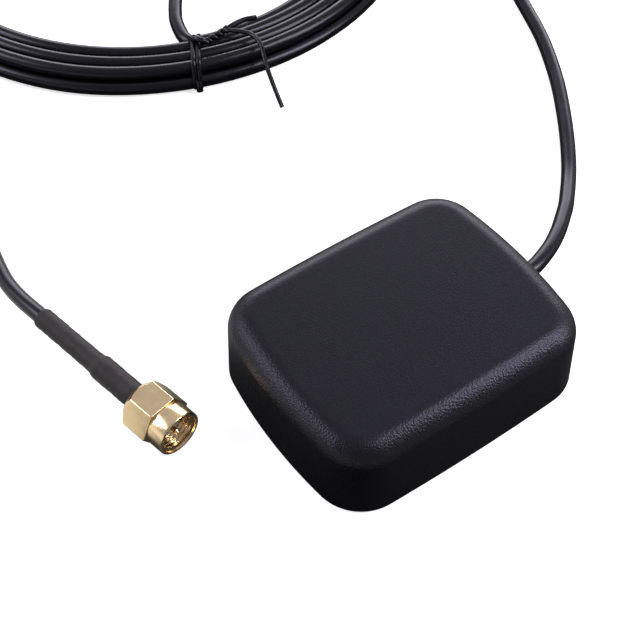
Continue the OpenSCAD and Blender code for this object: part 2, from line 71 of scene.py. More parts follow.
forward = Vector((
    math.sin(CAM_AZIMUTH) * math.cos(CAM_DROP),
    math.cos(CAM_AZIMUTH) * math.cos(CAM_DROP),
    -math.sin(CAM_DROP),
))
flat_right = Vector((math.cos(CAM_AZIMUTH), -math.sin(CAM_AZIMUTH), 0.0))
flat_up = flat_right.cross(forward)
right = flat_right * math.cos(CAM_ROLL) + flat_up * math.sin(CAM_ROLL)
up = flat_up * math.cos(CAM_ROLL) - flat_right * math.sin(CAM_ROLL)
print("the camera looks along", [round(v, 3) for v in forward])

# %% The camera itself
cam_data = bpy.data.cameras.new("camera")
cam = bpy.data.objects.new("camera", cam_data)
scene.collection.objects.link(cam)
cam_data.sensor_width = SENSOR_MM
cam_data.lens = SENSOR_MM * FOCAL_PX / SIDE_PX
cam_data.shift_x = (SIDE_PX / 2 - CENTRE_PX[0]) / SIDE_PX
cam_data.shift_y = (CENTRE_PX[1] - SIDE_PX / 2) / SIDE_PX
cam_data.clip_start = 0.005
turn = Matrix((right, up, -forward)).transposed().to_4x4()
cam.matrix_world = Matrix.Translation(CAM_AT) @ turn
scene.camera = cam
scene.view_settings.view_transform = "Standard"
print("lens", round(cam_data.lens, 2), "mm")

# %% [markdown]
# ## Finishes
#
# The finishes come before the shapes, so that each piece can wear its own when it is made. A colour
# is written as a hex value, which is sRGB, and shaders want linear light, so one function does that
# change. Another adds a node with its settings and links in one line, and so each finish below
# reads as a short list. The patterns are noise in the object's own coordinates, which keeps them
# in place when a part is moved, and their sizes are given in millimetres.

# %% Colours, nodes and pattern sizes
def linear(code):
    """An sRGB hex colour as linear RGBA."""
    out = []
    for i in (1, 3, 5):
        c = int(code[i:i + 2], 16) / 255
        out.append(c / 12.92 if c <= 0.04045 else ((c + 0.055) / 1.055) ** 2.4)
    return (*out, 1.0)


def add(tree, kind, settings=None, **inputs):
    """Adds a node, sets its properties, and links or fills the named inputs."""
    n = tree.nodes.new(kind)
    for key, value in (settings or {}).items():
        setattr(n, key, value)
    for key, value in inputs.items():
        name = key.replace("_", " ")
        socket = n.inputs[int(key[1:])] if key[0] == "i" and key[1:].isdigit() else n.inputs[name]
        if isinstance(value, bpy.types.NodeSocket):
            tree.links.new(value, socket)
        else:
            socket.default_value = value
    return n


def across(size):
    """The scale at which one feature of a pattern is `size` millimetres wide."""
    return 1 / (size * MM)


print("mid grey in linear light", round(linear("#808080")[0], 3))


# %% What every finish shares
def new_material(name):
    """An empty material with its tree, and the object's own coordinates."""
    m = bpy.data.materials.new(name)
    m.use_nodes = True
    t = m.node_tree
    t.nodes.clear()
    at = add(t, "ShaderNodeTexCoord").outputs["Object"]
    return m, t, at


def close_material(t, **inputs):
    """Ends the tree in one principled surface."""
    p = add(t, "ShaderNodeBsdfPrincipled", **inputs)
    add(t, "ShaderNodeOutputMaterial", Surface=p.outputs["BSDF"])
    return p


def drift_tone(t, at, size, dark, light, spread=0.2, detail=3.0):
    """A slow drift between two tones, and the noise that it follows."""
    drift = add(t, "ShaderNodeTexNoise", Vector=at, Scale=across(size),
                Detail=detail).outputs["Fac"]
    part = add(t, "ShaderNodeMapRange", Value=drift, From_Min=0.5 - spread,
               From_Max=0.5 + spread).outputs["Result"]
    tone = add(t, "ShaderNodeMix", {"data_type": "RGBA"}, i0=part, i6=linear(dark),
               i7=linear(light)).outputs[2]
    return tone, drift


def grain_bump(t, at, size, strength, depth, detail=2.0, over=None):
    """A bump from noise of `size` and `depth` in millimetres, on top of the bump `over`."""
    fine = add(t, "ShaderNodeTexNoise", Vector=at, Scale=across(size), Detail=detail,
               Roughness=0.5)
    inputs = {"Height": fine.outputs["Fac"], "Strength": strength, "Distance": depth * MM}
    if over is not None:
        inputs["Normal"] = over
    return add(t, "ShaderNodeBump", **inputs).outputs["Normal"]


print("a grain of 0.29 mm has the scale", round(across(0.29)))

# %% [markdown]
# The housing is black ABS, moulded against a spark-eroded tool. Its skin is covered in tiny round
# grains, which break up a highlight into a fine sparkle. Cells a bit over a quarter of a millimetre
# wide give the grains. They are drawn shallower where the surface looks straight up, because the
# flat top shows almost none of them. The tint makes its gloss slightly blue, as the photograph has.


# %% Housing plastic
def housing_finish():
    m, t, at = new_material("spark-eroded black ABS")
    cells = add(t, "ShaderNodeTexVoronoi", {"feature": "SMOOTH_F1"}, Vector=at,
                Scale=across(0.2857), Smoothness=0.5, Randomness=1.0).outputs["Distance"]
    upward = add(t, "ShaderNodeSeparateXYZ",
                 Vector=add(t, "ShaderNodeTexCoord").outputs["Normal"]).outputs["Z"]
    depth = add(t, "ShaderNodeMapRange", Value=upward, From_Min=0.90, From_Max=0.999,
                To_Min=1.0, To_Max=0.30).outputs["Result"]
    coarse = add(t, "ShaderNodeBump", Height=cells, Strength=depth,
                 Distance=0.06 * MM).outputs["Normal"]
    normal = grain_bump(t, at, 0.1786, 0.20, 0.04, 1.0, coarse)
    tone, _ = drift_tone(t, at, 16.67, "#0b0b0d", "#0d0d10")
    rough = add(t, "ShaderNodeMapRange", Value=cells, From_Min=0.0, From_Max=0.6, To_Min=0.28,
                To_Max=0.38).outputs["Result"]
    close_material(t, Base_Color=tone, Roughness=rough, Normal=normal, Specular_IOR_Level=0.32,
                   Specular_Tint=linear("#eae8ff"))
    return m


FINISH = {"housing_plastic": housing_finish()}
print("made", FINISH["housing_plastic"].name)

# %% [markdown]
# The lead's jacket is extruded vinyl. It is smooth, so a thin clear line of light runs along it,
# and a slight unevenness over millimetres makes that line waver. The sleeve at the plug is shrunk
# polyolefin, which is matt and a warmer black, with only a broad dull sheen.


# %% Jacket and sleeve
def jacket_finish():
    m, t, at = new_material("satin black vinyl")
    tone, drift = drift_tone(t, at, 11.11, "#060608", "#09090c", spread=0.15)
    normal = grain_bump(t, at, 1.111, 0.12, 0.1)
    rough = add(t, "ShaderNodeMapRange", Value=drift, From_Min=0.3, From_Max=0.7, To_Min=0.22,
                To_Max=0.30).outputs["Result"]
    close_material(t, Base_Color=tone, Roughness=rough, Normal=normal, Specular_IOR_Level=0.36,
                   Specular_Tint=linear("#f1f1ff"))
    return m


def sleeve_finish():
    m, t, at = new_material("matt heat-shrink sleeve")
    tone, _ = drift_tone(t, at, 2.5, "#211b1b", "#2b2425", detail=4.0)
    normal = grain_bump(t, at, 0.4, 0.3, 0.1, 3.0)
    close_material(t, Base_Color=tone, Roughness=0.60, Normal=normal, Specular_IOR_Level=0.35)
    return m


FINISH["lead_jacket"] = jacket_finish()
FINISH["shrink_sleeve"] = sleeve_finish()
print("made", FINISH["lead_jacket"].name, "and", FINISH["shrink_sleeve"].name)

# %% [markdown]
# The plug is turned brass with gold over nickel. It is nearly a mirror, so its look comes from what
# stands round it. The pale colour and a low roughness keep the reflections bright, and a faint wave
# in the skin bends them as the barrel polish does on the real one.


# %% Gold plate
def gold_finish():
    m, t, at = new_material("polished gold plate")
    tone, drift = drift_tone(t, at, 2.0, "#efd3a2", "#f8dfaf")
    normal = grain_bump(t, at, 0.7143, 0.10, 0.05, 3.0)
    rough = add(t, "ShaderNodeMapRange", Value=drift, From_Min=0.3, From_Max=0.7, To_Min=0.16,
                To_Max=0.24).outputs["Result"]
    close_material(t, Base_Color=tone, Metallic=1.0, Roughness=rough, Normal=normal)
    return m


FINISH["gold_plate"] = gold_finish()
print("made", FINISH["gold_plate"].name)

# %% [markdown]
# The rest is inside or below: the board, the ceramic patch, the magnet and the layers of the lead.
# They wear plain finishes, each with the colour and gloss of its own stuff, and a slight drift of
# tone, so that none looks painted when the model is opened.


# %% The hidden pieces
def simple_finish(name, dark, light, rough, metal=0.0, size=3.333, bump=0.08):
    """A plain finish whose tone and skin vary slightly."""
    m, t, at = new_material(name)
    tone, _ = drift_tone(t, at, size, dark, light)
    normal = grain_bump(t, at, size / 5, bump, 0.08)
    close_material(t, Base_Color=tone, Metallic=metal, Roughness=rough, Normal=normal)
    return m


FINISH.update({
    "base_plastic": simple_finish("plain black plastic", "#151518", "#1a1a1d", 0.5),
    "seal_rubber": simple_finish("soft dark rubber", "#17171a", "#1e1e21", 0.6),
    "gasket_rubber": simple_finish("red silicone rubber", "#8e3024", "#a33a2b", 0.45),
    "white_insulator": simple_finish("waxy white fluoroplastic", "#d9d6cc", "#e6e3da", 0.4),
    "copper_wire": simple_finish("bare copper", "#b06f45", "#c98455", 0.3, 1.0, 1.111),
    "board_laminate": simple_finish("green solder mask", "#12432a", "#195a38", 0.35),
    "patch_ceramic": simple_finish("fired cream ceramic", "#cabf9f", "#d8ceb1", 0.55),
    "silver_film": simple_finish("fired silver film", "#cfcfcc", "#e2e2df", 0.38, 1.0),
    "tinned_metal": simple_finish("tinned steel", "#b4b7ba", "#c6c8ca", 0.35, 1.0),
    "screw_steel": simple_finish("zinc plated steel", "#a6a9ad", "#bdbfc2", 0.32, 1.0),
    "magnet_metal": simple_finish("nickel plate", "#8f9194", "#a3a5a8", 0.25, 1.0),
    "chip_epoxy": simple_finish("moulded epoxy", "#1b1b1d", "#232326", 0.6),
    "chip_ceramic": simple_finish("tan chip ceramic", "#a08a66", "#b39c76", 0.5),
    "tape_foam": simple_finish("white adhesive tape", "#cfcfc8", "#dcdcd6", 0.7),
})
for row in frame["record"]["subparts"]:
    ob = frame["nodes"][row["node"]]
    ob.data.materials.clear()
    ob.data.materials.append(FINISH[row["material_slot"]])
print("finishes", len(FINISH))

# %% [markdown]
# ## The lead
#
# The real lead is a coaxial cord with a soft black jacket, 2.8 mm across and about three metres
# long. It is one piece from the housing to the plug, so it is one curve here. The route has three
# parts. First comes the stretch from the housing, out of the picture on the right, round behind
# the coil and over it. Then come nearly eight turns of the coil. Last comes the stretch from the
# coil to the plug. Five turns lie side by side on the table, and three lie in the hollows on top
# of them. Each turn moves over by one place on the coil's far side, where the photograph doesn't
# reach. The points are in metres, in the model's frame, and the CAD tubes follow the same route.

# %% Measures of the lead and the plug's place
CORD_D = 2.8 * MM
CORD_R = CORD_D / 2
COIL = Vector((27.5, 130.5, 0)) * MM
LOW = [46.2, 49.0, 51.8, 54.6, 57.4]
HIGH = [50.4, 53.2, 56.0]
SLOTS = [(r, 1.4) for r in LOW] + [(r, 3.83) for r in reversed(HIGH)]
PLUG_BACK = Vector((-38.27, 14.51, 4.0)) * MM
PLUG_TURN = math.radians(-77.5)
PLUG_AXIS = Vector((math.cos(PLUG_TURN), math.sin(PLUG_TURN), 0.0))


def on_plug(x):
    """The point `x` millimetres along the plug's axis, from the back of its nut."""
    return PLUG_BACK + PLUG_AXIS * x * MM


def mm(points):
    """Points given in millimetres, as vectors in metres."""
    return [Vector(p) * MM for p in points]


print("turns of the coil", len(SLOTS), "plug axis", [round(v, 3) for v in PLUG_AXIS])

# %% The two free stretches
ROUTE_OUT = mm([
    (16, 0, 5.5), (21, 0, 5.5), (26, 0.1, 5.5), (28, 0.3, 5.4), (30.5, 1.1, 5.2),
    (33.8, 2.5, 4.8), (37.6, 4.7, 4.2), (40.5, 6.8, 3.6), (43.5, 9.1, 3.0), (46.1, 11.5, 2.4),
    (48.6, 13.9, 1.9), (50.9, 16.3, 1.6), (53, 18.7, 1.5), (57, 23.7, 1.4), (60.9, 29.1, 1.4),
    (64.7, 34.8, 1.4), (68.2, 40.9, 1.4), (71.5, 47.5, 1.4), (74.3, 54.7, 1.4), (79.4, 69, 1.4),
    (83.6, 82.5, 1.4), (87.6, 96.5, 1.4), (90.4, 111, 1.4), (90.8, 125.5, 1.4), (88.4, 139.5, 2),
    (82.6, 152.5, 5), (73.4, 162.6, 7.1), (61, 167.4, 7.1), (49, 163.4, 5), (39.6, 152.6, 1.6),
    (32.6, 138, 1.4), (25.8, 121.5, 1.4), (18.4, 103.4, 1.4), (14, 95.6, 1.4), (12.6, 91, 1.4),
    (12.4, 88.4, 1.4), (13.4, 86.5, 1.4),
])
ROUTE_IN = mm([
    (-10.8, 162.6, 5), (-19, 153.6, 6.9), (-26.6, 141.4, 7.1), (-31.8, 128.6, 6),
    (-34.8, 115, 3.2), (-36.4, 101.5, 1.4), (-38.6, 88, 1.4), (-41.2, 74, 1.4),
    (-43.8, 61, 1.4), (-45, 52, 2.2), (-44.9, 46.5, 3.0),
]) + [on_plug(x) for x in (-26, -22, -18, -12, -6.2)]
print("chosen points", len(ROUTE_OUT) + len(ROUTE_IN))

# %% The coil
COIL_IN, COIL_LAST = 257.0, 2989.0
SHIFT_MID, SHIFT_HALF = 90.0, 30.0
SPREAD_AT, SPREAD_WIDE, SPREAD = 226.0, 12.0, 0.035
WANDER, HOP = 0.10, 0.4


def coil_point(turned):
    """A point of the coil, `turned` degrees along it; it changes slot in the far window."""
    window = (turned - SHIFT_MID) / 360.0
    k = math.floor(window + 0.5)
    part = (turned - (k * 360.0 + SHIFT_MID) + SHIFT_HALF) / (2 * SHIFT_HALF)
    ease = min(max(part, 0.0), 1.0)
    ease = ease * ease * (3 - 2 * ease)
    a, b = (SLOTS[min(max(j, 0), len(SLOTS) - 1)] for j in (k - 1, k))
    r = a[0] + (b[0] - a[0]) * ease
    z = a[1] + (b[1] - a[1]) * ease
    if a[1] > 2 and b[1] > 2:
        z += HOP * math.sin(math.pi * min(max(part, 0.0), 1.0))
    t = math.radians(turned)
    # the strands spread a little on the near left, and wander slightly everywhere
    near_left = math.exp(-(((turned % 360.0) - SPREAD_AT) / SPREAD_WIDE) ** 2)
    r += near_left * (r - LOW[2]) * SPREAD
    r += WANDER * math.sin(2.3 * t + r) if a[1] > 2 else 0.0
    return Vector((COIL.x + r * MM * math.cos(t), COIL.y + r * MM * math.sin(t), z * MM))


STEP = 3.0
coil_line = [
    coil_point(COIL_IN + STEP * i) for i in range(int((COIL_LAST - COIL_IN) / STEP))
]
print("points on the coil", len(coil_line))

# %% [markdown]
# The stretches run as smooth curves through their points, the same curves that the CAD source uses.
# Nothing may dip below the table, so the height is held at the cord's own radius or above.


# %% The whole path
def smooth_line(points, parts=2):
    """The same smooth curve that the CAD source sweeps its tubes along."""
    p = [Vector(q) for q in points]
    n = len(p)

    def heading(i):
        return (p[min(i + 1, n - 1)] - p[max(i - 1, 0)]).normalized()

    out = []
    for i in range(n - 1):
        span = (p[i + 1] - p[i]).length
        a, b = heading(i) * span, heading(i + 1) * span
        for k in range(parts):
            t = k / parts
            out.append(
                p[i] * (2 * t**3 - 3 * t**2 + 1) + a * (t**3 - 2 * t**2 + t)
                + p[i + 1] * (3 * t**2 - 2 * t**3) + b * (t**3 - t**2)
            )
    out.append(p[-1])
    return out


cord_line = smooth_line(ROUTE_OUT, 3) + coil_line + smooth_line(ROUTE_IN, 4)
cord_line = [Vector((p.x, p.y, max(p.z, CORD_R))) for p in cord_line]

# %% [markdown]
# A mesh tube follows that path. A curve with a round bevel would look the same, but rings of points
# that are swept here stay square to the path, and the export takes them as they are. The mesh
# helper makes an object from points and faces, with its place in the mesh and its origin at zero,
# because the export puts every object there. It also merges doubles and turns the faces outwards.


# %% The lead's mesh
def outward(me):
    """Merges doubles and turns the faces of a mesh outwards."""
    bm = bmesh.new()
    bm.from_mesh(me)
    bmesh.ops.remove_doubles(bm, verts=bm.verts, dist=1e-7)
    bmesh.ops.recalc_face_normals(bm, faces=bm.faces)
    bm.to_mesh(me)
    bm.free()
    for f in me.polygons:
        f.use_smooth = True


def mesh_object(name, points, faces, finish):
    """A mesh object at the origin that wears the named finish."""
    me = bpy.data.meshes.new(name)
    me.from_pydata([tuple(p) for p in points], [], faces)
    outward(me)
    me.materials.append(FINISH[finish])
    ob = bpy.data.objects.new(name, me)
    scene.collection.objects.link(ob)
    return ob


def tube(name, line, radius, sides, finish):
    """Rings swept along a line, closed at both ends."""
    pts, faces = [], []
    n = len(line)
    side = (line[1] - line[0]).cross(Vector((0, 0, 1)))
    for i, c in enumerate(line):
        d = (line[min(i + 1, n - 1)] - line[max(i - 1, 0)]).normalized()
        side = (side - d * side.dot(d)).normalized()
        over = d.cross(side)
        for k in range(sides):
            a = TAU * k / sides
            pts.append(c + (side * math.cos(a) + over * math.sin(a)) * radius)
    for i in range(n - 1):
        for k in range(sides):
            a, b = i * sides + k, i * sides + (k + 1) % sides
            faces.append((a, b, b + sides, a + sides))
    faces.append(tuple(reversed(range(sides))))
    faces.append(tuple(range((n - 1) * sides, n * sides)))
    return mesh_object(name, pts, faces, finish)


lead = tube("lead", cord_line, CORD_R, 16, "lead_jacket")
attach(lead, "antenna")
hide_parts("cable_antenna_lead", "cable_coil", "cable_plug_lead")
print("lead faces", len(lead.data.polygons))

# %% [markdown]
# ## The housing
#
# The cover is one moulding: side walls that lean in a little for the mould, a rounded edge of about
# four millimetres, and sides that bow out slightly, so nothing on it is quite straight. A box with
# bevelled edges would come close, but its sides would be flat. So one section of the wall is swept
# round the same eight arcs that the CAD source has, with finer steps on the rounded edge, and that
# gives the soft highlight of the photograph. The inner skin, the skirt and the four bosses are
# there too, so that the part is right from below and when it is opened.

# %% Sizes and plan of the housing
LENGTH, WIDTH, HEIGHT = 49.5, 39.6, 14.4
CORNER_R, EDGE_R, WALL, SKIRT, LEDGE = 8.2, 4.0, 1.9, 1.2, 1.9
TOP_RING, FOOT_R, FOOT_AT = 0.6, 0.3, 0.35
LEAN, END_TURN, SIDE_BOW = (math.radians(a) for a in (3.3, 8.0, 2.0))


def plan_arcs():
    """(centre, radius, from, to, steps) of the eight arcs of the plan, counter-clockwise."""
    p, q = math.tan(END_TURN / 2), math.tan(SIDE_BOW / 2)
    cx = (LENGTH / 2 - CORNER_R - p * (WIDTH / 2 - CORNER_R)) / (1 - p * q)
    cy = WIDTH / 2 - CORNER_R - q * cx
    r_end, r_side = CORNER_R + cy / math.sin(END_TURN), CORNER_R + cx / math.sin(SIDE_BOW)
    e, s = END_TURN, math.pi / 2 - SIDE_BOW
    quarter = math.pi / 2
    out = []
    for k, (sx, sy) in enumerate(((1, 1), (-1, 1), (-1, -1), (1, -1))):
        a, b = (e, s) if k % 2 == 0 else (2 * quarter - s, 2 * quarter - e)
        turn_by = math.pi if k > 1 else 0.0
        out.append(((sx * cx, sy * cy), CORNER_R, a + turn_by, b + turn_by, 24))
        mid = quarter * (k + 1)
        if k % 2 == 0:
            c = (0.0, sy * (WIDTH / 2 - r_side))
            out.append((c, r_side, mid - SIDE_BOW, mid + SIDE_BOW, 16))
        else:
            c = (sx * (LENGTH / 2 - r_end), 0.0)
            out.append((c, r_end, mid - END_TURN, mid + END_TURN, 16))
    return out


ARCS = plan_arcs()
print("arcs in the plan", len(ARCS), "corner centre", [round(v, 2) for v in ARCS[0][0]])


# %% The section of the wall
def plan_ring(inset, z):
    """Points round the plan, moved in by `inset`, at height `z`."""
    ring = []
    for c, r, a, b, steps in ARCS:
        for i in range(steps):
            t = a + (b - a) * i / steps
            ring.append(Vector((
                c[0] + (r - inset) * math.cos(t), c[1] + (r - inset) * math.sin(t), z
            )) * MM)
    return ring


def arc_steps(cx, cz, r, a, b, n):
    """(inset, height) points on an arc of the wall's section."""
    out = []
    for i in range(n + 1):
        t = a + (b - a) * i / n
        out.append((cx - r * math.cos(t), cz + r * math.sin(t)))
    return out


edge_z = HEIGHT - EDGE_R
edge_in = edge_z * math.tan(LEAN) + EDGE_R / math.cos(LEAN)
wall_at = WALL / math.cos(LEAN) + LEDGE * math.tan(LEAN)
section = [(edge_in + TOP_RING, HEIGHT)]
section += arc_steps(edge_in, edge_z, EDGE_R, math.pi / 2, LEAN, 16)
section += [(z * math.tan(LEAN), z) for z in (4.0, 0.7)]
section += arc_steps(FOOT_AT * math.tan(LEAN) + FOOT_R, FOOT_R, FOOT_R, LEAN, -math.pi / 2, 5)
section += [(SKIRT, 0.0), (SKIRT, LEDGE), (wall_at, LEDGE)]
section += arc_steps(edge_in, edge_z, EDGE_R - WALL, LEAN, math.pi / 2, 8)
print("points in the section", len(section))


# %% The cover
def sharp_by_angle(ob, degrees):
    """Marks edges sharper than this, so that smooth faces keep a crisp line there."""
    me = ob.data
    bm = bmesh.new()
    bm.from_mesh(me)
    limit = math.radians(degrees)
    for e in bm.edges:
        e.smooth = len(e.link_faces) == 2 and e.calc_face_angle(0.0) < limit
    bm.to_mesh(me)
    bm.free()
    return ob


points, faces = [], []
for inset, z in section:
    points += plan_ring(inset, z)
count = len(points) // len(section)
for j in range(len(section) - 1):
    for i in range(count):
        a, b = j * count + i, j * count + (i + 1) % count
        faces.append((a, a + count, b + count, b))
faces.append(tuple(range(count)))
faces.append(tuple(reversed(range(len(points) - count, len(points)))))
cover = sharp_by_angle(mesh_object("cover_moulding", points, faces, "housing_plastic"), 35)
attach(cover, "antenna")
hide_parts("top_cover")
print("cover faces", len(cover.data.polygons))

# %% [markdown]
# Four screw bosses stand inside the cover. They are one shape in four places, which is a job for
# geometry nodes: a grid with two points each way carries a copy of one boss on each point. The
# copies are realized at the end, because an export drops instances, and the result is kept as a
# plain mesh.


# %% Geometry trees
def new_tree(name, sockets):
    """A geometry tree with the named inputs; gives the tree and its input node."""
    tree = bpy.data.node_groups.new(name, "GeometryNodeTree")
    for label, kind in sockets.items():
        tree.interface.new_socket(label, in_out="INPUT", socket_type=kind)
    tree.interface.new_socket("Geometry", in_out="OUTPUT", socket_type="NodeSocketGeometry")
    return tree, tree.nodes.new("NodeGroupInput")


def close_tree(tree, geometry, given):
    """Ends a geometry tree in realized copies that wear the tree's Finish."""
    whole = add(tree, "GeometryNodeRealizeInstances", Geometry=geometry)
    dressed = add(tree, "GeometryNodeSetMaterial", Geometry=whole.outputs["Geometry"],
                  Material=given.outputs["Finish"])
    add(tree, "NodeGroupOutput", Geometry=dressed.outputs["Geometry"])


def run_tree(ob, tree, values):
    """Runs a geometry tree on the object and keeps the result as its plain mesh."""
    mod = ob.modifiers.new(tree.name, "NODES")
    mod.node_group = tree
    for item in tree.interface.items_tree:
        if item.name in values:
            mod[item.identifier] = values[item.name]
    shown = ob.evaluated_get(bpy.context.evaluated_depsgraph_get())
    made = bpy.data.meshes.new_from_object(shown)
    ob.modifiers.remove(mod)
    made.materials.clear()
    made.materials.append(values["Finish"])
    made.polygons.foreach_set("material_index", [0] * len(made.polygons))
    ob.data = made
    outward(made)


# %% The bosses
BOSS_IN, BOSS_R, BOSS_BORE = 6.75, 2.4, 0.95
BOSS_AT = (LENGTH / 2 - BOSS_IN, WIDTH / 2 - BOSS_IN)
BOSS_TOP, BORE_TOP, BOSS_SIDES = 12.4, 7.2, 32
loop = [(BOSS_R, BOSS_TOP), (BOSS_R, LEDGE), (BOSS_BORE, LEDGE), (BOSS_BORE, BORE_TOP),
        (0.01, BORE_TOP)]
points, faces = [], []
for r, z in loop:
    for i in range(BOSS_SIDES):
        t = TAU * i / BOSS_SIDES
        points.append(Vector((r * math.cos(t), r * math.sin(t), z)) * MM)
for j in range(len(loop) - 1):
    for i in range(BOSS_SIDES):
        a, b = j * BOSS_SIDES + i, j * BOSS_SIDES + (i + 1) % BOSS_SIDES
        faces.append((a, b, b + BOSS_SIDES, a + BOSS_SIDES))
one_boss = mesh_object("one_boss", points, faces, "housing_plastic")
bosses = mesh_object("cover_bosses", [], [], "housing_plastic")

tree, given = new_tree("boss grid", {
    "Boss": "NodeSocketObject", "Across": "NodeSocketFloat", "Along": "NodeSocketFloat",
    "Finish": "NodeSocketMaterial",
})
grid = add(tree, "GeometryNodeMeshGrid", Size_X=given.outputs["Along"],
           Size_Y=given.outputs["Across"], Vertices_X=2, Vertices_Y=2)
shape = add(tree, "GeometryNodeObjectInfo", Object=given.outputs["Boss"])
copies = add(tree, "GeometryNodeInstanceOnPoints", Points=grid.outputs["Mesh"],
             Instance=shape.outputs["Geometry"])
close_tree(tree, copies.outputs["Instances"], given)
run_tree(bosses, tree, {
    "Boss": one_boss, "Along": 2 * BOSS_AT[0] * MM, "Across": 2 * BOSS_AT[1] * MM,
    "Finish": FINISH["housing_plastic"],
})
bpy.data.objects.remove(one_boss)
sharp_by_angle(bosses, 35)
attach(bosses, "antenna")
print("boss faces", len(bosses.data.polygons))

# %% [markdown]
# ## The coupling nut
#
# The nut is turned and milled from brass and then gold plated. A turned cone runs from its back
# edge up to the corners, so it leaves a curved edge on each flat. A round collar as wide as the
# flats stands in front, and a fine thread of 36 turns to the inch runs inside. Booleans could cut
# all this from a cylinder, but the edges that they leave are hard to round. So the nut is one
# closed strip mesh: each ring of points has a place along the axis and a radius that may depend on
# the angle, which is how one mesh holds the flats, the cone and the thread's helix. The angles lie
# close together at the six corners, because a small rounding there catches a bright line of light.

# %% The nut's sizes and the hexagon
FLATS, HEX_LEN, COLLAR_LEN, COLLAR_D = 8.0, 4.7, 3.15, 7.8
NUT_LEN = HEX_LEN + COLLAR_LEN
CONE, CORNER_ROUND, FRONT_ROUND = 1.35, 0.28, 0.20
PITCH, THREAD_R, THREAD_DEPTH, MOUTH_R = 25.4 / 36, 2.87, 0.30, 3.45
THREAD_FROM, THREAD_FADE, THREAD_TO, TOOTH_FLAT = 2.5, 0.5, NUT_LEN - 0.5, 0.12
GROOVE_FRONT, GROOVE_BACK, GROOVE_R, BORE_R = 2.25, 1.65, 3.05, 2.55
CORNERS_R = FLATS / 2 / math.cos(math.pi / 6)
NEAR_CORNER = [0.45 * i for i in range(-5, 6)]
OFF_CORNER = [3.2, 4.8, 7, 10, 13, 16, 19, 22, 25, 28]
SECTOR = sorted(NEAR_CORNER + OFF_CORNER + [-v for v in OFF_CORNER])
ANGLES = [math.radians(60 * k + v) for k in range(6) for v in SECTOR]
AROUND = len(ANGLES)


def hex_radius(a):
    """Radius of the hexagon with rounded corners; a corner lies at angle 0."""
    off = abs((a + math.pi / 6) % (math.pi / 3) - math.pi / 6)
    centre = (FLATS / 2 - CORNER_ROUND) / math.cos(math.pi / 6)
    meet = math.atan2(CORNER_ROUND * 0.5, centre + CORNER_ROUND * math.cos(math.pi / 6))
    if off > meet:
        return FLATS / 2 / math.cos(math.pi / 6 - off)
    return centre * math.cos(off) + math.sqrt(CORNER_ROUND ** 2 - (centre * math.sin(off)) ** 2)


print("nut", NUT_LEN, "mm long,", round(2 * CORNERS_R, 2), "mm over its corners")


# %% The thread and the back cone
def cone_radius(x):
    """Radius that the turned cone at the back leaves at `x`."""
    return CORNERS_R + x


def thread_radius(x, a):
    """Radius of the inside thread, which fades out towards the mouth and the ring's groove."""
    phase = (x / PITCH - a / TAU) % 1.0
    tooth = 1.0 - abs(2.0 * phase - 1.0)
    tooth = min(max((tooth - TOOTH_FLAT) / (1 - 2 * TOOTH_FLAT), 0.0), 1.0)
    fade = min((x - THREAD_FROM) / THREAD_FADE, 1.0) if x > THREAD_FROM else 0.0
    return THREAD_R + THREAD_DEPTH * tooth * fade


print("thread pitch", round(PITCH, 3), "mm")

# %% Rings along the nut
rings = [(-CONE, lambda a: 2.65), (-CONE, lambda a: 3.14), (-CONE + 0.03, lambda a: 3.24)]
for i in range(25):
    x = -CONE + 0.08 + (CONE - 0.08) * i / 24
    rings.append((x, lambda a, x=x: min(hex_radius(a), cone_radius(x))))
for x in (0.6, 1.6, 2.6, 3.6, HEX_LEN - FRONT_ROUND):
    rings.append((x, hex_radius))
for i in range(1, 6):
    turn = math.radians(18 * i)
    x = HEX_LEN - FRONT_ROUND * (1 - math.sin(turn))
    rings.append((x, lambda a, t=turn: hex_radius(a) - FRONT_ROUND * (1 - math.cos(t))))
half = COLLAR_D / 2
for x, r in (
    (HEX_LEN, half - 0.12), (HEX_LEN + 0.03, half - 0.13), (HEX_LEN + 0.16, half - 0.13),
    (HEX_LEN + 0.2, half - 0.02), (HEX_LEN + 0.3, half),
    (NUT_LEN - 0.3, half), (NUT_LEN - 0.14, half - 0.02), (NUT_LEN - 0.05, half - 0.07),
    (NUT_LEN, half - 0.15), (NUT_LEN, MOUTH_R + 0.08), (NUT_LEN - 0.05, MOUTH_R),
    (NUT_LEN - 0.36, MOUTH_R - 0.08),
):
    rings.append((x, lambda a, r=r: r))
steps = int((THREAD_TO - THREAD_FROM) / (PITCH / 12))
for i in range(steps + 1):
    x = THREAD_TO - (THREAD_TO - THREAD_FROM) * i / steps
    rings.append((x, lambda a, x=x: thread_radius(x, a)))
for x, r in (
    (GROOVE_FRONT, THREAD_R), (GROOVE_FRONT, GROOVE_R), (GROOVE_BACK, GROOVE_R),
    (GROOVE_BACK, BORE_R), (-CONE + 0.1, BORE_R),
):
    rings.append((x, lambda a, r=r: r))
print("rings", len(rings))

# %% The nut
side_axis = PLUG_AXIS.cross(Vector((0, 0, 1)))


def plug_frame(x, r, a):
    """A point at `x` along the plug's axis, `r` out from it, at angle `a`."""
    return on_plug(x) + (side_axis * math.sin(a) + Vector((0, 0, 1)) * math.cos(a)) * r * MM


points, faces = [], []
for x, radius in rings:
    for a in ANGLES:
        points.append(plug_frame(x, radius(a), a + math.pi / 6))
n = len(rings)
for j in range(n):
    for i in range(AROUND):
        a, b = j * AROUND + i, j * AROUND + (i + 1) % AROUND
        c, d = ((j + 1) % n) * AROUND + (i + 1) % AROUND, ((j + 1) % n) * AROUND + i
        faces.append((a, b, c, d))
nut = sharp_by_angle(mesh_object("gold_coupling_nut", points, faces, "gold_plate"), 24)
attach(nut, "coupling_nut")
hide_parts("coupling_nut")
print("nut faces", len(nut.data.polygons))

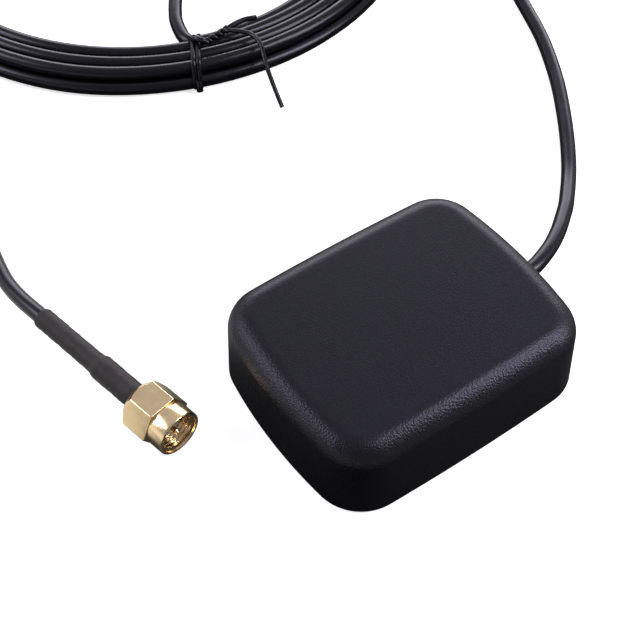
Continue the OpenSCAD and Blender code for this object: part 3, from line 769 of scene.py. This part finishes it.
# %% [markdown]
# ## The heat-shrink sleeve
#
# Dark sleeve is shrunk over the crimped ferrule and a good length of the lead. It shows the
# ferrule's end as a soft step. A spun profile would give that too, but a shrunk sleeve is never
# quite even, so its rings are made point by point and the radius wanders a little.

# %% The sleeve
SLEEVE_SIDES = 64
SLEEVE = [
    (-25.2, 1.42), (-25.15, 1.70), (-24.9, 1.78), (-18, 1.76), (-13, 1.78), (-11.4, 1.82),
    (-11.05, 1.90), (-10.75, 2.05), (-10.35, 2.14), (-9.2, 2.15), (-6.0, 2.10), (-2.0, 2.12),
    (-0.5, 2.1), (-0.28, 2.04), (-0.25, 1.86),
]


def sleeve_radius(x):
    """The sleeve's radius at `x` along the plug, without its unevenness."""
    for (x0, r0), (x1, r1) in zip(SLEEVE, SLEEVE[1:]):
        if x <= x1:
            return r0 + (r1 - r0) * (x - x0) / (x1 - x0)
    return SLEEVE[-1][1]


stations = sorted({x for x, _ in SLEEVE} | {-24.75 + 0.25 * i for i in range(98)})
points, faces = [], []
for x in stations:
    for i in range(SLEEVE_SIDES):
        a = TAU * i / SLEEVE_SIDES
        r = sleeve_radius(x)
        if -24.9 < x < -0.5:
            r += 0.020 * math.sin(1.9 * x + 2 * a) + 0.014 * math.sin(4.3 * x - a + 1.0)
        points.append(plug_frame(x, r, a))
for j in range(len(stations) - 1):
    for i in range(SLEEVE_SIDES):
        a, b = j * SLEEVE_SIDES + i, j * SLEEVE_SIDES + (i + 1) % SLEEVE_SIDES
        faces.append((a, b, b + SLEEVE_SIDES, a + SLEEVE_SIDES))
faces.append(tuple(range(SLEEVE_SIDES)))
faces.append(tuple(reversed(range(len(points) - SLEEVE_SIDES, len(points)))))
sleeve = sharp_by_angle(mesh_object("heat_shrink_sleeve", points, faces, "shrink_sleeve"), 50)
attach(sleeve, "antenna")
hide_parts("heat_shrink")
print("sleeve faces", len(sleeve.data.polygons))

# %% [markdown]
# ## The twist tie
#
# A flat wire with a plastic skin goes twice round the coil, and its ends are twisted together. One
# tail lies along the coil. The other bends out over it and comes down to the table. A simulation
# could wrap it, but a tie that is pulled tight just follows the outline of the bundle. So the two
# windings run along that outline, and their section is oval.

# %% The windings
TIE_TURN = math.radians(251.2)
TIE_OUT = Vector((math.cos(TIE_TURN), math.sin(TIE_TURN), 0))
TIE_ALONG = Vector((-math.sin(TIE_TURN), math.cos(TIE_TURN), 0))
TIE_LEAN, TIE_LIFT = 0.18, 1.72
TIE_WIDE, TIE_THICK, TIE_SIDES = 0.50, 0.30, 10
TABLE_GAP, TIE_LOW, TIE_HIGH = 0.32, 1.9, 4.33


def tie_loop(shift, lift):
    """A closed line round the bundle's section, `shift` millimetres along the bundle."""
    centres = [(LOW[0], TIE_LOW), (LOW[-1], TIE_LOW), (HIGH[-1], TIE_HIGH), (HIGH[0], TIE_HIGH)]
    spans = [(180, 270), (270, 380), (20, 90), (90, 180)]
    out = []
    for (r, z), (a, b) in zip(centres, spans):
        for i in range(7):
            t = math.radians(a + (b - a) * i / 6)
            rr, zz = r + lift * math.cos(t), max(z + lift * math.sin(t), TABLE_GAP)
            along = shift + TIE_LEAN * (LOW[2] - rr)
            out.append(COIL + (TIE_OUT * rr + TIE_ALONG * along + Vector((0, 0, zz))) * MM)
    return out


pts, fcs = [], []
for shift in (-0.55, 0.5):
    loop = tie_loop(shift, TIE_LIFT)
    n = len(loop)
    base = len(pts)
    for i, c in enumerate(loop):
        d = (loop[(i + 1) % n] - loop[i - 1]).normalized()
        over = d.cross(TIE_ALONG) * TIE_THICK
        wide = TIE_ALONG * TIE_WIDE
        for k in range(TIE_SIDES):
            a = TAU * k / TIE_SIDES
            pts.append(c + (wide * math.cos(a) + over * math.sin(a)) * MM)
    for i in range(n):
        for k in range(TIE_SIDES):
            here, ahead = base + i * TIE_SIDES, base + (i + 1) % n * TIE_SIDES
            beside = (k + 1) % TIE_SIDES
            fcs.append((here + k, here + beside, ahead + beside, ahead + k))
tie = mesh_object("wire_twist_tie", pts, fcs, "lead_jacket")
print("faces of the windings", len(tie.data.polygons))

# %% [markdown]
# The twisted part, the two tails, the knot and the small fold at the front are round wires along
# short paths, and they differ only in path and width. So each path is a spline of one curve, whose
# points carry the wire's radius, and a second geometry tree sweeps a circle along all of them and
# joins them to the windings.

# %% Paths of the wires
TWIST_TURNS, TWIST_OUT = 2.2, 0.42
twist = smooth_line(mm([(12.2, 80.3, 6.3), (14.8, 79.9, 7.0), (17.4, 80.0, 7.4)]), 14)
wires = []
for k in (0, 1):
    helix = []
    for i, c in enumerate(twist):
        a = TAU * TWIST_TURNS * i / (len(twist) - 1) + math.pi * k
        swing = Vector((0, 1, 0)) * math.cos(a) + Vector((0, 0, 1)) * math.sin(a)
        helix.append(c + swing * TWIST_OUT * MM)
    wires.append((helix, 0.44))
TAIL_ONE = mm([(17.2, 80.1, 7.3), (19.2, 80.1, 7.7), (21.4, 79.9, 7.9), (23.7, 79.1, 7.9)])
TAIL_TWO = mm([
    (17.2, 79.9, 7.3), (18.6, 78.2, 7.6), (20.2, 75.8, 7.7), (20.4, 72.8, 7.4), (19.5, 70, 6.4),
    (18.8, 67.6, 4.9), (18.2, 64.4, 2.8), (17.8, 61.4, 0.6),
])
KNOT = mm([(10.7, 83.2, 5.3), (11.0, 82.0, 6.7), (11.7, 80.6, 7.0), (12.8, 79.9, 6.3)])
fold = [COIL + (TIE_OUT * r + TIE_ALONG * (shift - 1.2) + Vector((0, 0, z))) * MM
        for r, shift, z in ((58.9, 0.1, 2.7), (59.5, 0.0, 1.7), (59.7, 0.0, 0.75))]
for tail, r in ((TAIL_ONE, 0.56), (TAIL_TWO, 0.46), (KNOT, 0.62), (fold, 0.68)):
    wires.append((smooth_line(tail, 6), r))
wire_data = bpy.data.curves.new("tie wires", "CURVE")
wire_data.dimensions = "3D"
for line, r in wires:
    spline = wire_data.splines.new("POLY")
    spline.points.add(len(line) - 1)
    for point, place in zip(spline.points, line):
        point.co = (*place, 1.0)
        point.radius = r * MM
wire_paths = bpy.data.objects.new("tie wires", wire_data)
scene.collection.objects.link(wire_paths)
print("wires", len(wires))

# %% The wires on the tie
tree, given = new_tree("wires along paths", {
    "Geometry": "NodeSocketGeometry", "Paths": "NodeSocketObject", "Sides": "NodeSocketInt",
    "Finish": "NodeSocketMaterial",
})
paths = add(tree, "GeometryNodeObjectInfo", Object=given.outputs["Paths"])
ring = add(tree, "GeometryNodeCurvePrimitiveCircle", Resolution=given.outputs["Sides"], Radius=1.0)
width = add(tree, "GeometryNodeInputRadius")
swept = add(tree, "GeometryNodeCurveToMesh", Curve=paths.outputs["Geometry"],
            Profile_Curve=ring.outputs["Curve"], Scale=width.outputs["Radius"], Fill_Caps=True)
both = add(tree, "GeometryNodeJoinGeometry", Geometry=given.outputs["Geometry"])
tree.links.new(swept.outputs["Mesh"], both.inputs["Geometry"])
close_tree(tree, both.outputs["Geometry"], given)
run_tree(tie, tree, {"Paths": wire_paths, "Sides": TIE_SIDES, "Finish": FINISH["lead_jacket"]})
bpy.data.objects.remove(wire_paths)
sharp_by_angle(tie, 50)
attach(tie, "antenna")
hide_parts("twist_tie")
print("tie faces", len(tie.data.polygons))

# %% [markdown]
# ## What the lead is
#
# The lead is a free cord, and the pieces at its end belong to it.

# %% [markdown]
# ## The ground
#
# The photograph is a product shot on pure white with hardly any shadow. The camera sees a pale
# floor with a glow of its own, so it reads as white and still takes the object's shadow. Shiny
# pieces mirror that floor too. In the photograph their lower sides are dark near the housing and
# the coil, and bright further out. So the mirrored floor is white further out, and close to the
# housing, the coil and under the nut it carries painted shade, which only mirrored rays see.

# %% The floor and its glow
floor_mesh = bpy.data.meshes.new("floor")
floor_mesh.from_pydata(
    [(-3, -3, 0), (3, -3, 0), (3, 3, 0), (-3, 3, 0)], [], [(0, 1, 2, 3)]
)
floor = bpy.data.objects.new("floor", floor_mesh)
floor.location.z = -0.0002
scene.collection.objects.link(floor)
m = bpy.data.materials.new("pale studio floor")
m.use_nodes = True
t = m.node_tree
t.nodes.clear()
ray = add(t, "ShaderNodeLightPath")
place = add(t, "ShaderNodeNewGeometry").outputs["Position"]
pale = add(t, "ShaderNodeBsdfDiffuse", Color=linear("#edede7"), Roughness=0.5)
glow = add(t, "ShaderNodeEmission", Color=(1.0, 1.0, 1.0, 1.0), Strength=0.66)
seen = add(t, "ShaderNodeAddShader", i0=pale.outputs[0], i1=glow.outputs[0])
print("floor at", floor.location.z)

# %% Where the mirrored floor has painted shade and where it is white
BOX_HALF, POOL_AT = (0.026, 0.021, 0.0), (-0.055, 0.045, 0.0)
UNDER_NUT, PAINTED_SHADE_FRONT = (-0.0370, 0.0090, 0.0), (-0.036, -0.033, 0.0)
# Mirrored rays see painted shade on the floor close to the housing and the coil, and white beyond.
beside = add(t, "ShaderNodeVectorMath", {"operation": "ABSOLUTE"}, i0=place)
beyond = add(t, "ShaderNodeVectorMath", {"operation": "SUBTRACT"}, i0=beside.outputs[0],
             i1=BOX_HALF)
outside = add(t, "ShaderNodeVectorMath", {"operation": "MAXIMUM"}, i0=beyond.outputs[0])
from_box = add(t, "ShaderNodeVectorMath", {"operation": "LENGTH"}, i0=outside.outputs[0])
from_coil = add(t, "ShaderNodeVectorMath", {"operation": "DISTANCE"}, i0=place, i1=tuple(COIL))
open_box = add(t, "ShaderNodeMapRange", Value=from_box.outputs["Value"], From_Min=0.02,
               From_Max=0.14)
open_coil = add(t, "ShaderNodeMapRange", Value=from_coil.outputs["Value"], From_Min=0.085,
                From_Max=0.12)
# Round the plug the painted shade is lifted again, except for a painted shadow close under the nut.
from_plug = add(t, "ShaderNodeVectorMath", {"operation": "DISTANCE"}, i0=place, i1=POOL_AT)
near_plug = add(t, "ShaderNodeMapRange", Value=from_plug.outputs["Value"], From_Min=0.040,
                From_Max=0.026)
from_nut = add(t, "ShaderNodeVectorMath", {"operation": "DISTANCE"}, i0=place, i1=UNDER_NUT)
off_nut = add(t, "ShaderNodeMapRange", Value=from_nut.outputs["Value"], From_Min=0.009,
              From_Max=0.016)
open_plug = add(t, "ShaderNodeMath", {"operation": "MULTIPLY"}, i0=near_plug.outputs["Result"],
                i1=off_nut.outputs["Result"])
open_both = add(t, "ShaderNodeMath", {"operation": "MULTIPLY"}, i0=open_box.outputs["Result"],
                i1=open_coil.outputs["Result"])
outside_painted_shade = add(t, "ShaderNodeMath", {"operation": "MAXIMUM"}, i0=open_both.outputs[0],
                 i1=open_plug.outputs[0])
mirrored = add(t, "ShaderNodeMath", {"operation": "MULTIPLY"}, i0=outside_painted_shade.outputs[0],
               i1=ray.outputs["Is Glossy Ray"])
print("nodes so far", len(t.nodes))

# %% The floor put together
# The dim floor that mirrored rays see is painted shade, and it is painted darker still close in
# front of the housing.
from_front = add(t, "ShaderNodeVectorMath", {"operation": "DISTANCE"}, i0=place, i1=PAINTED_SHADE_FRONT)
painted_shade_tone = add(t, "ShaderNodeMapRange", Value=from_front.outputs["Value"], From_Min=0.010,
            From_Max=0.032, To_Min=0.015, To_Max=0.10)
dim = add(t, "ShaderNodeBsdfDiffuse", Color=painted_shade_tone.outputs["Result"], Roughness=0.5)
sheet = add(t, "ShaderNodeEmission", Color=(1.0, 1.0, 1.0, 1.0), Strength=0.92)
other = add(t, "ShaderNodeMixShader", Fac=mirrored.outputs[0], i1=dim.outputs[0],
            i2=sheet.outputs[0])
both = add(t, "ShaderNodeMixShader", Fac=ray.outputs["Is Camera Ray"], i1=other.outputs[0],
           i2=seen.outputs[0])
add(t, "ShaderNodeOutputMaterial", Surface=both.outputs[0])
floor_mesh.materials.append(m)
print("floor nodes", len(t.nodes))

# %% [markdown]
# ## The sky
#
# The camera sees pure white behind the object. Mirrored rays see a dim sky instead, somewhat
# brighter behind the object than in front of it, so the black pieces stay black. A white band low
# on the left is the exception. It is what the nut's left flats show in the photograph.

# %% The sky's light
SKY_TINT = (0.97, 0.96, 1.10, 1.0)
BEHIND, LEFTWARD = (0.53, 0.79, 0.3), (-0.6, 0.8, 0.0)
world = bpy.data.worlds.new("studio")
scene.world = world
world.use_nodes = True
t = world.node_tree
t.nodes.clear()
ray = add(t, "ShaderNodeLightPath")
white = add(t, "ShaderNodeBackground", Color=(1.0, 1.0, 1.0, 1.0), Strength=1.0)
towards = add(t, "ShaderNodeTexCoord").outputs["Generated"]
behind = add(t, "ShaderNodeVectorMath", {"operation": "DOT_PRODUCT"}, i0=towards, i1=BEHIND)
level = add(t, "ShaderNodeMapRange", Value=behind.outputs["Value"], From_Min=-0.3, From_Max=0.6,
            To_Min=0.29, To_Max=0.53)
height = add(t, "ShaderNodeSeparateXYZ", Vector=towards).outputs["Z"]
steep = add(t, "ShaderNodeMath", {"operation": "ABSOLUTE"}, i0=height)
near_horizon = add(t, "ShaderNodeMapRange", Value=steep.outputs[0], From_Min=0.45, From_Max=0.20)
print("sky nodes so far", len(t.nodes))

# %% The white band
leftward = add(t, "ShaderNodeVectorMath", {"operation": "DOT_PRODUCT"}, i0=towards, i1=LEFTWARD)
left_side = add(t, "ShaderNodeMapRange", Value=leftward.outputs["Value"], From_Min=-0.2,
                From_Max=0.3)
band = add(t, "ShaderNodeMath", {"operation": "MULTIPLY"}, i0=near_horizon.outputs["Result"],
           i1=left_side.outputs["Result"])
mirrored = add(t, "ShaderNodeMath", {"operation": "MULTIPLY"}, i0=band.outputs[0],
               i1=ray.outputs["Is Glossy Ray"])
shown = add(t, "ShaderNodeMath", {"operation": "MAXIMUM"}, i0=mirrored.outputs[0],
            i1=ray.outputs["Is Camera Ray"])
soft = add(t, "ShaderNodeBackground", Color=SKY_TINT, Strength=level.outputs["Result"])
mix = add(t, "ShaderNodeMixShader", Fac=shown.outputs[0], i1=soft.outputs[0],
          i2=white.outputs[0])
add(t, "ShaderNodeOutputWorld", Surface=mix.outputs[0])
print("sky nodes", len(t.nodes))

# %% [markdown]
# ## The lamps
#
# Three soft lamps stand round the object. The wide one at the back gives the far edges their pale
# rim and the lead its thin line of light. The two softboxes give the bands along the near edges of
# the housing. Their shapes matter more than their power, because a glossy edge shows the shape.


# %% Lamps
def soft_light(name, at, aim, size, power, colour):
    """A soft lamp of the given width and height at `at`, turned to `aim`, in metres."""
    data = bpy.data.lights.new(name, "AREA")
    data.shape = "RECTANGLE"
    data.size, data.size_y = size
    data.energy = power
    data.color = colour
    ob = bpy.data.objects.new(name, data)
    scene.collection.objects.link(ob)
    ob.location = at
    ob.rotation_euler = (Vector(aim) - Vector(at)).to_track_quat("-Z", "Y").to_euler()
    return ob


def from_compass(azimuth, elevation, distance):
    """A place `distance` metres off; azimuth runs from +Y towards +X, both angles in degrees."""
    a, e = math.radians(azimuth), math.radians(elevation)
    return (distance * math.sin(a) * math.cos(e), distance * math.cos(a) * math.cos(e),
            distance * math.sin(e))


COOL = (1.0, 0.98, 1.07)
lights = [
    soft_light("back sweep", from_compass(42, 19, 1.3), (0, 0, 0), (1.5, 0.66), 10.5, COOL),
    soft_light("right softbox", (0.164, -0.116, 0.184), (0.014, -0.018, 0.012), (0.10, 0.26),
               0.74, COOL),
    soft_light("left softbox", from_compass(-50, 36, 0.7), (0, 0, 0), (0.34, 0.34), 1.8, COOL),
]
print("lamps", [ob.name for ob in lights])
